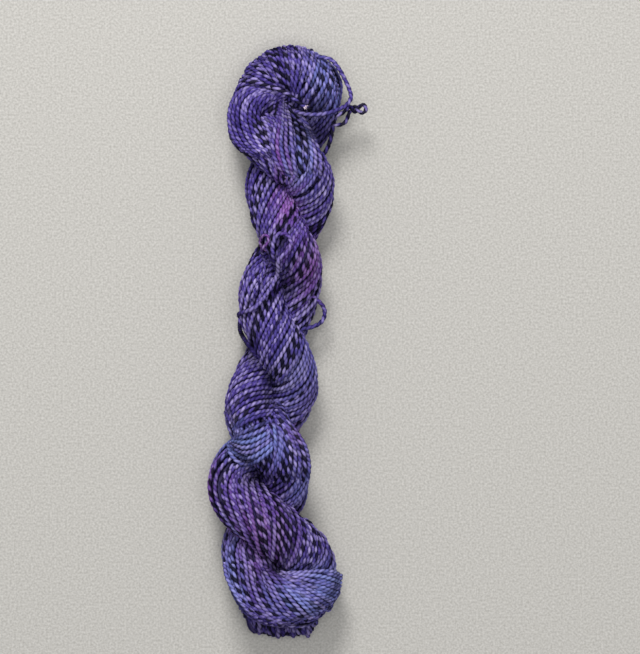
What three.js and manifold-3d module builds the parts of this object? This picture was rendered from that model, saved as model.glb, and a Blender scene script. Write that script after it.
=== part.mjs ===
// A small hank of hand-dyed yarn: one ring of yarn, twisted hard, folded in half so that its two
// plies wind round each other, and locked by pushing one end of the ring through the other.
// Millimetres. The hank lies along Y with its head at +Y, on the surface z = 0, and +Z is up.
import * as THREE from 'three';
import { mergeVertices } from 'three/addons/utils/BufferGeometryUtils.js';
import Module from 'manifold-3d';

const wasm = await Module();
wasm.setup();

// ---- driving dimensions ----
const strandWide = 1.73;      // the yarn itself, across
const snarlWide = 1.55;       // the same yarn where it is over-twisted
const knotWide = 1.25;        // the thinner thread of the waist tie
const strandSides = 8;
const strandStep = 2.4;       // widths of a loose strand from one section to the next, at most
const stepsPerPoint = 1.5;    // and at least this many sections for each of its points
const ringStep = 3.6;         // along the bundle, from one section to the next
const twistRidges = 7;        // main twists that show round a ply
const ridgePoints = 3;        // points of the section for each of them
const ridgeDepth = 0.045;     // their height, as a share of the ply's half width
const plyQuarters = 10;       // quarter turns of the two plies, from the head to the tuck
const stationsPerQuarter = 4;
const bendReserve = 0.96;     // the inside of a bend stops just short of its centre
const surfaceGap = 0.3;       // between the hank and a loose strand beside it
const middle = { x: -0.24, y: -0.16 };  // of the outline of all the pieces, in the numbers below

// One row for each quarter turn of a ply, the head first.
// y, axisX, axisZ: the middle of both plies. offX, offZ: from there to this ply's own middle.
// halfWide, halfDeep: half its width and thickness. lay: the angle of its main twists.
const plyColumns = ['y', 'axisX', 'offX', 'axisZ', 'offZ', 'halfWide', 'halfDeep', 'lay'];
const firstPly = [
  [78.7, -1.7, 10.3, 10.4, 4.7, 10.1, 7.9, 20],
  [65.7, 1.5, 8.6, 13.0, 6.5, 9.9, 6.8, 36],
  [52.7, 0.4, 7.6, 12.2, 6.1, 8.6, 6.8, 40],
  [35.8, 0.1, 6.8, 12.2, 6.3, 7.9, 6.7, 36],
  [19.6, -2.4, 6.8, 11.9, 6.1, 8.3, 6.7, 38],
  [0.5, -3.9, 7.2, 12.2, 6.3, 9.4, 6.7, 40],
  [-15.7, -5.3, 7.6, 12.2, 6.1, 8.6, 6.8, 42],
  [-34.4, -8.5, 8.3, 12.2, 6.1, 8.6, 6.8, 40],
  [-50.9, -10.0, 9.4, 12.6, 6.1, 9.9, 7.2, 42],
  [-65.7, -6.4, 9.4, 13.3, 6.5, 10.1, 7.2, 44],
  [-79.0, -2.8, 10.1, 11.9, 6.1, 9.7, 6.8, 34],
];
const secondPly = [
  [85.9, -1.3, 10.1, 10.1, 4.3, 10.1, 7.9, 20],
  [68.6, -0.6, 8.6, 12.2, 6.3, 8.6, 6.7, 32],
  [54.5, 0.4, 7.2, 12.2, 6.1, 8.6, 6.8, 38],
  [35.8, 0.4, 6.8, 12.2, 6.3, 9.0, 6.7, 38],
  [22.5, -2.8, 6.7, 11.9, 6.1, 8.3, 6.5, 40],
  [-0.2, -4.2, 7.2, 12.2, 6.3, 8.3, 6.7, 42],
  [-22.9, -6.4, 7.6, 12.2, 6.1, 8.8, 6.8, 50],
  [-35.1, -6.8, 8.3, 12.6, 6.3, 9.7, 6.8, 46],
  [-49.1, -10.0, 8.6, 12.6, 6.1, 9.4, 7.2, 40],
  [-65.3, -9.3, 9.7, 12.6, 6.3, 9.4, 7.2, 42],
  [-78.3, -3.1, 10.8, 13.0, 6.1, 9.7, 7.2, 46],
];

// The head: the plies are one bundle there, bent back on itself round a small closed eye.
const head = { x: 0.5, y: 87.8, bend: 10.1, halfWide: 9.5, halfDeep: 7.9, z: 7.4, plyZ: 10.6, lay: 50 };
const headAngles = [155, 125, 90, 55, 25];
const headLean = 0.7;

// The two ends of the ring, from the plies on. facing: the way that the flat side looks, in degrees
// from up, towards +X. The first ply's end is pushed through the second's, and fans out past it.
const endColumns = ['x', 'y', 'z', 'halfWide', 'halfDeep', 'facing', 'lay'];
const pushedEnd = [
  [5.5, -86.2, 7.9, 11.5, 5.0, 0, 20],
  [-0.6, -92.7, 7.2, 14.4, 4.3, 0, 8],
  [-2.4, -97.7, 6.1, 14.9, 4.0, 0, 0],
  [-2.4, -102.1, 5.0, 13.7, 3.6, 0, 0],
  [-2.1, -105.3, 4.3, 10.8, 3.2, 0, 0],
  [-1.7, -106.7, 4.0, 6.5, 2.5, 0, 0],
];
const wrappedEnd = [
  [-9.3, -88.4, 18.0, 10.8, 5.4, 10, 42],
  [1.5, -92.0, 19.8, 10.4, 4.3, 20, 28],
  [10.9, -90.2, 17.3, 8.6, 4.3, 45, 14],
  [15.9, -86.9, 10.1, 5.8, 3.6, 90, 5],
  [10.9, -88.4, 2.5, 7.9, 2.9, 150, 0],
  [-1.0, -89.1, 1.8, 9.4, 2.5, 180, 0],
  [-13.6, -85.5, 2.2, 7.9, 2.5, 180, 0],
];

// The loose strands: points that each one runs through, x, y, z. Their ends are inside the bundle.
const headLoop = [
  [9.4, 103.1, 10.8], [11.6, 102.8, 12.3], [15.6, 101.7, 13.2], [18.4, 98.5, 13.4],
  [20.6, 94.5, 13.6], [22.2, 90.8, 14.1], [22.7, 87.9, 15.0], [21.2, 85.4, 16.4],
  [18.4, 83.7, 17.5], [14.8, 82.4, 18.3], [10.9, 81.7, 18.5], [6.2, 81.9, 18.0],
  [3.0, 82.9, 16.2], [1.2, 83.7, 13.6],
];
const headTie = [
  [-7.4, 92.4, 15.2], [-4.8, 91.4, 17.2], [-2.1, 90.2, 16.6], [0.1, 89.1, 15.8], [1.9, 87.7, 16.5],
  [3.7, 86.2, 17.9], [5.8, 84.8, 18.6], [7.8, 83.8, 17.6], [9.0, 83.2, 14.6],
];
const headSnarl = [
  [14.6, 80.9, 12.4], [17.2, 81.5, 13.4], [19.6, 82.5, 13.0], [21.3, 84.0, 12.9],
  [22.2, 84.9, 13.2], [22.7, 84.6, 13.9], [23.15, 83.9, 14.15], [23.6, 83.3, 13.9],
  [24.1, 83.0, 13.2], [24.6, 83.3, 12.5], [25.05, 84.0, 12.25], [25.5, 84.6, 12.5],
  [26.0, 84.95, 13.2], [26.8, 85.5, 13.3], [27.7, 85.2, 13.3], [28.1, 84.2, 13.2],
  [27.8, 83.1, 13.1], [26.9, 82.6, 13.1], [26.0, 82.95, 13.2], [25.5, 83.3, 13.9],
  [25.05, 83.9, 14.15], [24.6, 84.6, 13.9], [24.1, 84.9, 13.2], [23.6, 84.6, 12.5],
  [23.15, 83.9, 12.25], [22.7, 83.3, 12.5], [22.2, 82.9, 13.0], [21.7, 81.5, 12.6],
  [21.1, 80.0, 12.0], [20.0, 78.8, 11.9], [18.0, 78.3, 12.2], [15.8, 78.8, 12.6], [13.6, 79.6, 11.6],
];
const waistLoop = [
  [-4.2, 26.4, 16.8], [-4.9, 29.0, 21.4], [-5.2, 31.2, 24.0], [-5.3, 33.6, 24.9],
  [-5.0, 36.0, 25.5], [-4.0, 38.2, 25.9], [-1.9, 39.0, 26.1], [0.1, 38.2, 26.2],
  [1.2, 36.2, 26.2], [0.9, 34.0, 26.3], [-0.5, 32.0, 26.2], [-2.4, 30.5, 25.9],
  [-3.4, 28.6, 24.8], [-3.4, 26.4, 22.6], [-3.9, 23.9, 20.2], [-5.6, 20.4, 20.4],
  [-7.5, 17.4, 22.0], [-9.5, 14.9, 22.8], [-11.3, 12.9, 23.2], [-13.2, 11.8, 22.7],
  [-15.2, 11.1, 21.2], [-16.8, 10.6, 19.0], [-17.6, 10.0, 16.4], [-17.2, 9.3, 13.8],
  [-16.3, 8.7, 12.0], [-14.9, 8.2, 11.2], [-13.2, 7.9, 11.6],
];
const waistKnot = [
  [-6.6, 31.8, 14.6], [-8.0, 33.2, 19.6], [-9.6, 34.8, 20.6], [-9.8, 36.6, 21.6],
  [-8.8, 38.1, 23.2], [-7.5, 38.4, 24.2], [-6.8, 37.2, 24.6], [-7.0, 35.8, 24.3],
  [-8.0, 34.7, 23.9], [-9.1, 33.4, 22.6], [-9.0, 31.8, 19.8], [-8.4, 29.6, 17.6],
  [-8.2, 27.0, 17.8], [-9.0, 24.0, 18.9], [-10.2, 21.0, 20.4], [-11.6, 18.4, 21.4],
  [-12.8, 16.4, 21.8], [-13.4, 15.0, 20.4],
];
const sideLoop = [
  [7.5, 18.0, 12.6], [9.2, 16.6, 12.4], [10.8, 15.2, 11.6], [12.1, 13.9, 10.8], [13.0, 12.4, 10.2],
  [13.3, 10.8, 10.0], [13.1, 9.2, 9.9], [12.4, 7.8, 9.9], [11.2, 6.7, 10.0], [9.6, 5.9, 10.3],
  [7.8, 5.3, 10.7], [6.0, 4.8, 10.8], [4.2, 4.3, 10.0], [2.4, 3.8, 8.8],
];

// ---- colours ----
const purple = 0x5a4792;
const lavender = 0x7a6fb8;
const darkMarl = 0x2e2a48;
const pinkThread = 0x9a78a8;

const finish = (color) => new THREE.MeshStandardMaterial({ color, roughness: 0.9, metalness: 0 });
const named = (columns, row) => Object.fromEntries(columns.map((name, i) => [name, row[i]]));
const radians = THREE.MathUtils.degToRad;

// ---- the line and the sections of the bundle ----

// A smooth value through evenly numbered rows, for every column at once.
function smoothRow(rows, place) {
  const at = (i) => {
    if (i < 0) return rows[0].map((v, k) => 2 * v - rows[1][k]);
    if (i >= rows.length) return rows.at(-1).map((v, k) => 2 * v - rows.at(-2)[k]);
    return rows[i];
  };
  const start = Math.min(Math.floor(place), rows.length - 2);
  const f = place - start;
  const [a, b, c, d] = [at(start - 1), at(start), at(start + 1), at(start + 2)];
  return b.map((_, k) => 0.5 * (2 * b[k] + (c[k] - a[k]) * f
    + (2 * a[k] - 5 * b[k] + 4 * c[k] - d[k]) * f * f
    + (3 * b[k] - a[k] - 3 * c[k] + d[k]) * f * f * f));
}

// A ply's station at a number of quarter turns from the head. firstSide is 180 where it starts at
// the left, and 0 where it starts at the right.
function plyStation(rows, quarter, firstSide) {
  const row = named(plyColumns, smoothRow(rows, quarter));
  const turn = radians(firstSide - 90 * quarter);
  return [row.axisX + row.offX * Math.cos(turn), row.y, row.axisZ + row.offZ * Math.sin(turn),
    row.halfWide, row.halfDeep, 0, row.lay];
}

function plyStations(rows, firstSide) {
  const count = plyQuarters * stationsPerQuarter;
  return Array.from({ length: count + 1 }, (_, i) => plyStation(rows, i / stationsPerQuarter, firstSide));
}

function headStation(degrees) {
  const across = Math.cos(radians(degrees));
  const up = Math.sin(radians(degrees));
  return [head.x + head.bend * across + headLean * up, head.y + head.bend * up,
    head.z + (head.plyZ - head.z) * (1 - up), head.halfWide, head.halfDeep, 0, head.lay];
}

// Sections at even steps along the stations: middle, width and depth directions, sizes and bend.
function bundleSections(stations) {
  const finePerStation = 24;
  const fine = [];
  for (let i = 0; i <= (stations.length - 1) * finePerStation; i += 1) {
    const row = named(endColumns, smoothRow(stations, i / finePerStation));
    row.middle = new THREE.Vector3(row.x, row.y, row.z);
    row.along = i === 0 ? 0 : fine[i - 1].along + row.middle.distanceTo(fine[i - 1].middle);
    fine.push(row);
  }
  const count = Math.round(fine.at(-1).along / ringStep);
  const sections = [];
  let next = 0;
  for (let i = 0; i <= count; i += 1) {
    const along = (fine.at(-1).along * i) / count;
    while (next < fine.length - 1 && fine[next].along < along) next += 1;
    sections.push({ ...fine[next], along });
  }
  const direction = (i) => {
    const before = sections[Math.max(i - 1, 0)].middle;
    const after = sections[Math.min(i + 1, count)].middle;
    return after.clone().sub(before).normalize();
  };
  let turned = 0;
  sections.forEach((section, i) => {
    const heading = direction(i);
    const face = radians(section.facing);
    const flat = new THREE.Vector3(Math.sin(face), 0, Math.cos(face));
    section.widthways = new THREE.Vector3().crossVectors(heading, flat).normalize();
    section.depthways = new THREE.Vector3().crossVectors(section.widthways, heading);
    const step = i === 0 ? 0 : section.along - sections[i - 1].along;
    turned -= (step * Math.tan(radians(section.lay))) / section.halfWide;
    section.turned = turned;
    const before = Math.max(i - 1, 0);
    const after = Math.min(i + 1, count);
    const span = sections[after].along - sections[before].along;
    section.bend = direction(after).sub(direction(before)).divideScalar(span);
  });
  return sections;
}

// A point of a section's rim, drawn in where it would pass the centre of a tight bend.
function rimPoint(section, angle, reach) {
  const ridge = 1 + ridgeDepth * Math.cos(twistRidges * angle);
  const round = angle + section.turned;
  const offset = section.widthways.clone().multiplyScalar(section.halfWide * Math.cos(round))
    .addScaledVector(section.depthways, section.halfDeep * Math.sin(round))
    .multiplyScalar(reach * ridge);
  const tightness = section.bend.length();
  if (tightness > 0) {
    const inward = section.bend.clone().divideScalar(tightness);
    const depth = offset.dot(inward);
    const limit = bendReserve / tightness;
    const knee = 0.7 * limit;
    if (depth > knee) {
      const room = limit - knee;
      offset.addScaledVector(inward, knee + room * Math.tanh((depth - knee) / room) - depth);
    }
  }
  return offset.add(section.middle);
}

// ---- solids ----

function solidOf(geometry) {
  const bare = geometry.clone();
  bare.deleteAttribute('normal');
  bare.deleteAttribute('uv');
  const merged = mergeVertices(bare, 1e-4);
  return new wasm.Manifold(new wasm.Mesh({
    numProp: 3,
    vertProperties: new Float32Array(merged.attributes.position.array),
    triVerts: new Uint32Array(merged.index.array),
  }));
}

function geometryOf(solid) {
  const { vertProperties, triVerts } = solid.getMesh();
  const geometry = new THREE.BufferGeometry();
  geometry.setAttribute('position', new THREE.BufferAttribute(vertProperties, 3));
  geometry.setIndex(new THREE.BufferAttribute(triVerts, 1));
  geometry.computeVertexNormals();
  return geometry;
}

// The largest closed surface of a solid: crumbs are left out, and hollows sealed inside are filled.
function largestPiece(solid) {
  return solid.decompose().reduce((most, piece) => (piece.volume() > most.volume() ? piece : most));
}

// A closed bundle: a capped cylinder whose points are placed on the sections, widened by grow.
function bundle(sections, grow) {
  const rings = sections.length - 1;
  const sides = twistRidges * ridgePoints;
  const tube = new THREE.CylinderGeometry(1, 1, 1, sides, rings, false);
  const place = tube.attributes.position;
  for (let i = 0; i < place.count; i += 1) {
    const ring = Math.round((place.getY(i) + 0.5) * rings);
    const angle = Math.atan2(place.getZ(i), place.getX(i));
    const reach = Math.min(1, Math.hypot(place.getX(i), place.getZ(i)));
    const section = { ...sections[ring] };
    section.halfWide += grow;
    section.halfDeep += grow;
    const point = rimPoint(section, angle, reach);
    place.setXYZ(i, point.x, point.y, point.z);
  }
  return solidOf(tube);
}

// The whole ring, from its pushed end round the head to its wrapped end. The two halves meet at a
// section in the head.
function hankSolid(grow) {
  const sections = bundleSections([...pushedEnd.slice().reverse(),
    ...plyStations(firstPly, 180).reverse(), ...headAngles.map(headStation),
    ...plyStations(secondPly, 0), ...wrappedEnd]);
  const top = Math.max(...sections.map((section) => section.middle.y));
  const crown = sections.findIndex((section) => section.middle.y === top);
  return bundle(sections.slice(0, crown + 1), grow).add(bundle(sections.slice(crown), grow));
}

// A loose strand, cut back to where it leaves the hank. The longest piece is the one that shows.
function looseStrand(points, wide, nearHank) {
  const line = new THREE.CatmullRomCurve3(points.map((point) => new THREE.Vector3(...point)), false,
    'centripetal');
  const around = Array.from({ length: strandSides }, (_, i) => {
    const angle = (2 * Math.PI * i) / strandSides;
    return new THREE.Vector2(Math.cos(angle), Math.sin(angle)).multiplyScalar(wide / 2);
  });
  const steps = Math.max(Math.ceil(line.getLength() / (strandStep * wide)),
    Math.round(stepsPerPoint * points.length));
  const tube = new THREE.ExtrudeGeometry(new THREE.Shape(around),
    { steps, extrudePath: line, bevelEnabled: false });
  return largestPiece(solidOf(tube).subtract(nearHank));
}

const floorSpan = 600;
const floor = solidOf(new THREE.BoxGeometry(floorSpan, floorSpan, floorSpan)
  .translate(0, 0, -floorSpan / 2));
const nearHank = hankSolid(surfaceGap);

const group = new THREE.Group();
group.position.set(-middle.x, -middle.y, 0);

function addPiece(name, solid, color) {
  const mesh = new THREE.Mesh(geometryOf(solid), finish(color));
  mesh.name = name;
  group.add(mesh);
}

addPiece('hank', largestPiece(hankSolid(0).subtract(floor)), purple);
addPiece('head_loop', looseStrand(headLoop, strandWide, nearHank), lavender);
addPiece('head_tie', looseStrand(headTie, strandWide, nearHank), darkMarl);
addPiece('head_snarl', looseStrand(headSnarl, snarlWide, nearHank), darkMarl);
addPiece('waist_loop', looseStrand(waistLoop, strandWide, nearHank), lavender);
addPiece('waist_knot', looseStrand(waistKnot, knotWide, nearHank), pinkThread);
addPiece('side_loop', looseStrand(sideLoop, strandWide, nearHank), lavender);

export default group;
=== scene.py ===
# A small hank of hand-dyed yarn: one ring of two-ply yarn, twisted hard, folded in half so that its
# two plies wind round each other, and locked by pushing one end of the ring through the other.
# Metres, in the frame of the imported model: the hank lies along Y on the surface z = 0.
import math

import bmesh
import bpy
import numpy as np
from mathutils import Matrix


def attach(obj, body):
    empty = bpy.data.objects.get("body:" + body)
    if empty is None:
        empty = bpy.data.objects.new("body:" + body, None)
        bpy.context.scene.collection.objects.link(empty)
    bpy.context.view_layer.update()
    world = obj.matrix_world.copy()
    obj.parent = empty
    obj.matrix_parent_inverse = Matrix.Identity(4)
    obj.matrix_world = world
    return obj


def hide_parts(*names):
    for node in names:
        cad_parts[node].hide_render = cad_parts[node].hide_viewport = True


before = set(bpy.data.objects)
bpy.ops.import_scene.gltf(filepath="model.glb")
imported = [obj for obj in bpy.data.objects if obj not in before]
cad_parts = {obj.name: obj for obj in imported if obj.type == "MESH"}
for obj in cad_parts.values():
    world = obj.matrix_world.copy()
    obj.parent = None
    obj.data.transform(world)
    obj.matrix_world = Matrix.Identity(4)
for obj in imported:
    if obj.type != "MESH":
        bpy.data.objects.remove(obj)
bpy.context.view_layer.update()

# ---- driving dimensions ----
MIDDLE = np.array((-0.00024, -0.00016, 0.0))   # of the outline of all the pieces, in the tables below
STRAND = 0.00173                # the yarn itself, across
TIE_STRAND = 0.00162            # the marled yarn of the tie
KNOT_THREAD = 0.00125           # the thinner thread of the waist tie
PLY_TURN = 0.0042               # of the yarn's two plies round each other
KNOT_TURN = 0.8 * PLY_TURN
RING_STEP = 0.0036              # along the bundle, from one section to the next
TWIST_RIDGES = 7                # main twists that show round a ply
RIDGE_DEPTH = 0.045             # share of the bundle's half width
PLY_QUARTERS = 10               # quarter turns of each ply round the other
STATIONS_PER_QUARTER = 4
STATION_SLICES, ROUTE_SLICES = 24, 8     # from one station, or one point of a route, to the next
BEND_RESERVE = 0.96             # share of a bend's radius that the strands inside it may fill
BEND_KNEE = 0.7                 # share of that from which on they are drawn in
NO_BEND = 1e-6                  # the bend of a straight stretch, which divides and so isn't 0

# ---- the line of the bundle ----
# One row for each quarter turn of a ply, the head first: y; the middle of both plies in x and this
# ply's offset from it; the same in z; half its width and thickness; the angle of its strands.
FIRST_PLY = [
    (0.0787, -0.0017, 0.0103, 0.0104, 0.0047, 0.0101, 0.0079, -8),
    (0.0657, 0.0015, 0.0086, 0.013, 0.0065, 0.0099, 0.0068, 72),
    (0.0527, 0.0004, 0.0076, 0.0122, 0.0061, 0.0086, 0.0068, 46),
    (0.0358, 0.0001, 0.0068, 0.0122, 0.0063, 0.0079, 0.0067, 44),
    (0.0196, -0.0024, 0.0068, 0.0119, 0.0061, 0.0083, 0.0067, 26),
    (0.0005, -0.0039, 0.0072, 0.0122, 0.0063, 0.0094, 0.0067, 68),
    (-0.0157, -0.0053, 0.0076, 0.0122, 0.0061, 0.0086, 0.0068, 48),
    (-0.0344, -0.0085, 0.0083, 0.0122, 0.0061, 0.0086, 0.0068, 46),
    (-0.0509, -0.01, 0.0094, 0.0126, 0.0061, 0.0099, 0.0072, 14),
    (-0.0657, -0.0064, 0.0094, 0.0133, 0.0065, 0.0101, 0.0072, 60),
    (-0.079, -0.0028, 0.0101, 0.0119, 0.0061, 0.0097, 0.0068, 78),
]

SECOND_PLY = [
    (0.0859, -0.0013, 0.0101, 0.0101, 0.0043, 0.0101, 0.0079, 24),
    (0.0686, -0.0006, 0.0086, 0.0122, 0.0063, 0.0086, 0.0067, 38),
    (0.0545, 0.0004, 0.0072, 0.0122, 0.0061, 0.0086, 0.0068, 30),
    (0.0358, 0.0004, 0.0068, 0.0122, 0.0063, 0.009, 0.0067, 70),
    (0.0225, -0.0028, 0.0067, 0.0119, 0.0061, 0.0083, 0.0065, 42),
    (-0.0002, -0.0042, 0.0072, 0.0122, 0.0063, 0.0083, 0.0067, 42),
    (-0.0229, -0.0064, 0.0076, 0.0122, 0.0061, 0.0088, 0.0068, 56),
    (-0.0351, -0.0068, 0.0083, 0.0126, 0.0063, 0.0097, 0.0068, 52),
    (-0.0491, -0.01, 0.0086, 0.0126, 0.0061, 0.0094, 0.0072, 40),
    (-0.0653, -0.0093, 0.0097, 0.0126, 0.0063, 0.0094, 0.0072, 46),
    (-0.0783, -0.0031, 0.0108, 0.013, 0.0061, 0.0097, 0.0072, 10),
]

# The head: the plies are one bundle there, bent back on itself round a small closed eye.
HEAD_X, HEAD_Y, HEAD_BEND = 0.0005, 0.0878, 0.0101
HEAD_HALF_WIDE, HEAD_HALF_DEEP, HEAD_LEAN = 0.0095, 0.0079, 0.0007
HEAD_Z, HEAD_PLY_Z = 0.0074, 0.0106
HEAD_ANGLES = (155, 125, 90, 55, 25)
HEAD_LAYS = (78, 86, 86, 82, 45)

# The two ends of the ring: x, y, z, half width, half thickness, the way its flat side looks, angle.
PUSHED_END = [
    (0.0055, -0.0862, 0.0079, 0.0115, 0.005, 0, 20),
    (-0.0006, -0.0927, 0.0072, 0.0144, 0.0043, 0, 8),
    (-0.0024, -0.0977, 0.0061, 0.0149, 0.004, 0, 0),
    (-0.0024, -0.1021, 0.005, 0.0137, 0.0036, 0, 0),
    (-0.0021, -0.1053, 0.0043, 0.0108, 0.0032, 0, 0),
    (-0.0017, -0.1067, 0.004, 0.0065, 0.0025, 0, 0),
]
WRAPPED_END = [
    (-0.0093, -0.0884, 0.018, 0.0108, 0.0054, 10, 20),
    (0.0015, -0.092, 0.0198, 0.0104, 0.0043, 20, 40),
    (0.0109, -0.0902, 0.0173, 0.0086, 0.0043, 45, 34),
    (0.0159, -0.0869, 0.0101, 0.0058, 0.0036, 90, 5),
    (0.0109, -0.0884, 0.0025, 0.0079, 0.0029, 150, 0),
    (-0.001, -0.0891, 0.0018, 0.0094, 0.0025, 180, 0),
    (-0.0136, -0.0855, 0.0022, 0.0079, 0.0025, 180, 0),
]

# ---- the loose strands: the points that each one runs through ----
HEAD_LOOP_ROUTE = [
    (0.0094, 0.1031, 0.0108), (0.0116, 0.1028, 0.0123), (0.0156, 0.1017, 0.0132),
    (0.0184, 0.0985, 0.0134), (0.0206, 0.0945, 0.0136), (0.0222, 0.0908, 0.0141),
    (0.0227, 0.0879, 0.015), (0.0212, 0.0854, 0.0164), (0.0184, 0.0837, 0.0175),
    (0.0148, 0.0824, 0.0186), (0.0109, 0.0817, 0.019), (0.0062, 0.0819, 0.0185),
    (0.003, 0.0829, 0.0165), (0.0012, 0.0837, 0.0136),
]
HEAD_TIE_ROUTE = [
    (-0.0074, 0.0924, 0.0152), (-0.0048, 0.0914, 0.0187), (-0.0021, 0.0902, 0.0179),
    (0.0001, 0.0891, 0.017), (0.0019, 0.0877, 0.0181), (0.0037, 0.0862, 0.0189),
    (0.0058, 0.0848, 0.0191), (0.0078, 0.0838, 0.0178), (0.009, 0.0832, 0.0148),
]
HEAD_SNARL_ROUTE = [
    (0.0146, 0.0809, 0.0124), (0.0172, 0.0815, 0.0134), (0.0196, 0.0825, 0.013),
    (0.0213, 0.084, 0.0129), (0.0222, 0.0849, 0.0132), (0.0227, 0.0846, 0.0139),
    (0.02315, 0.0839, 0.01415), (0.0236, 0.0833, 0.0139), (0.0241, 0.083, 0.0132),
    (0.0246, 0.0833, 0.0125), (0.02505, 0.084, 0.01225), (0.0255, 0.0846, 0.0125),
    (0.026, 0.08495, 0.0132), (0.0268, 0.0855, 0.0133), (0.0277, 0.0852, 0.0133),
    (0.0281, 0.0842, 0.0132), (0.0278, 0.0831, 0.0131), (0.0269, 0.0826, 0.0131),
    (0.026, 0.08295, 0.0132), (0.0255, 0.0833, 0.0139), (0.02505, 0.0839, 0.01415),
    (0.0246, 0.0846, 0.0139), (0.0241, 0.0849, 0.0132), (0.0236, 0.0846, 0.0125),
    (0.02315, 0.0839, 0.01225), (0.0227, 0.0833, 0.0125), (0.0222, 0.0829, 0.013),
    (0.0217, 0.0815, 0.0126), (0.0211, 0.08, 0.012), (0.02, 0.0788, 0.0119), (0.018, 0.0783, 0.0122),
    (0.0158, 0.0788, 0.0126), (0.0136, 0.0796, 0.0116),
]
WAIST_LOOP_ROUTE = [
    (-0.0042, 0.0264, 0.0168), (-0.0049, 0.029, 0.0214), (-0.0052, 0.0312, 0.0242),
    (-0.0053, 0.0336, 0.0251), (-0.005, 0.036, 0.0257), (-0.004, 0.0382, 0.0261),
    (-0.0019, 0.039, 0.0263), (0.0001, 0.0382, 0.0264), (0.0012, 0.0362, 0.0264),
    (0.0009, 0.034, 0.0265), (-0.0005, 0.032, 0.0264), (-0.0024, 0.0305, 0.0261),
    (-0.0034, 0.0286, 0.025), (-0.0034, 0.0264, 0.0228), (-0.0039, 0.0239, 0.0204),
    (-0.0056, 0.0204, 0.0206), (-0.0075, 0.0174, 0.0222), (-0.0095, 0.0149, 0.023),
    (-0.0113, 0.0129, 0.0234), (-0.0132, 0.0118, 0.0229), (-0.0152, 0.0111, 0.0212),
    (-0.0168, 0.0106, 0.019), (-0.0176, 0.01, 0.0164), (-0.0172, 0.0093, 0.0138),
    (-0.0163, 0.0087, 0.012), (-0.0149, 0.0082, 0.0112), (-0.0132, 0.0079, 0.0116),
]
WAIST_KNOT_ROUTE = [
    (-0.0066, 0.0318, 0.0146), (-0.008, 0.0332, 0.0196), (-0.0096, 0.0348, 0.0206),
    (-0.0098, 0.0366, 0.0216), (-0.0088, 0.0381, 0.0232), (-0.0075, 0.0384, 0.0242),
    (-0.0068, 0.0372, 0.0246), (-0.007, 0.0358, 0.0243), (-0.008, 0.0347, 0.0239),
    (-0.0091, 0.0334, 0.0226), (-0.009, 0.0318, 0.0198), (-0.0084, 0.0296, 0.0176),
    (-0.0082, 0.027, 0.0178), (-0.009, 0.024, 0.0189), (-0.0102, 0.021, 0.0204),
    (-0.0116, 0.0184, 0.0214), (-0.0128, 0.0164, 0.0218), (-0.0134, 0.015, 0.0204),
]
SIDE_LOOP_ROUTE = [
    (0.001, 0.0228, 0.0105), (0.003, 0.0215, 0.011), (0.0055, 0.0196, 0.012),
    (0.0075, 0.018, 0.0126), (0.0092, 0.0166, 0.0124), (0.0108, 0.0152, 0.0116),
    (0.0121, 0.0139, 0.0108), (0.013, 0.0124, 0.0102), (0.0133, 0.0108, 0.01),
    (0.0131, 0.0092, 0.0099), (0.0124, 0.0078, 0.0099), (0.0112, 0.0067, 0.01),
    (0.0096, 0.0059, 0.0103), (0.0078, 0.0053, 0.0107), (0.006, 0.0048, 0.0108),
    (0.0042, 0.0043, 0.01), (0.0024, 0.0038, 0.0088),
]

# ---- strands that lie over the others ----
# Each group has its first strand, some between and its last one, as the x and y of points along them.
LEFT_SHOULDER = [
    [(-0.0057, -0.0164), (-0.0093, -0.0164), (-0.0129, -0.0171), (-0.0161, -0.0185),
     (-0.019, -0.0207), (-0.0212, -0.0232), (-0.0224, -0.0257)],
    [(-0.0053, -0.0257), (-0.0082, -0.0259), (-0.0114, -0.0268), (-0.0147, -0.0283),
     (-0.0172, -0.0301), (-0.0188, -0.0322)],
]
LEAF_TUCK = [
    [(-0.0048, -0.0279), (-0.0078, -0.0286), (-0.0114, -0.0301), (-0.0147, -0.0315),
     (-0.0172, -0.0328), (-0.0194, -0.0344)],
    [(-0.0046, -0.0351), (-0.006, -0.0383), (-0.0086, -0.0407), (-0.0114, -0.0427),
     (-0.0143, -0.0437), (-0.0172, -0.0432), (-0.0197, -0.0412), (-0.0212, -0.0387),
     (-0.0212, -0.0362)],
]
RIGHT_FLANK = [
    [(-0.0042, -0.0207), (-0.0021, -0.0232), (-0.0003, -0.0265), (0.0019, -0.0301),
     (0.0044, -0.0337), (0.0064, -0.0373), (0.0075, -0.0416), (0.0077, -0.0459), (0.0068, -0.0502)],
    [(-0.0042, -0.0275), (-0.003, -0.0308), (-0.0024, -0.0344), (-0.0028, -0.0383),
     (-0.0042, -0.0423), (-0.0064, -0.0463), (-0.0086, -0.0499)],
]
STRAY_LEFT = [
    (-0.017, 0.0088), (-0.0172, 0.0041), (-0.0149, 0.0002), (-0.0129, -0.0025), (-0.0113, -0.0045),
]
STRAY_BACK = [                  # with its heights
    (0.017, 0.083, 0.0115), (0.0167, 0.0801, 0.0113), (0.0161, 0.0765, 0.0108),
    (0.0152, 0.0725, 0.0102), (0.0136, 0.0689, 0.0096), (0.0113, 0.0661, 0.009),
    (0.0084, 0.0639, 0.0084),
]
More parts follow.
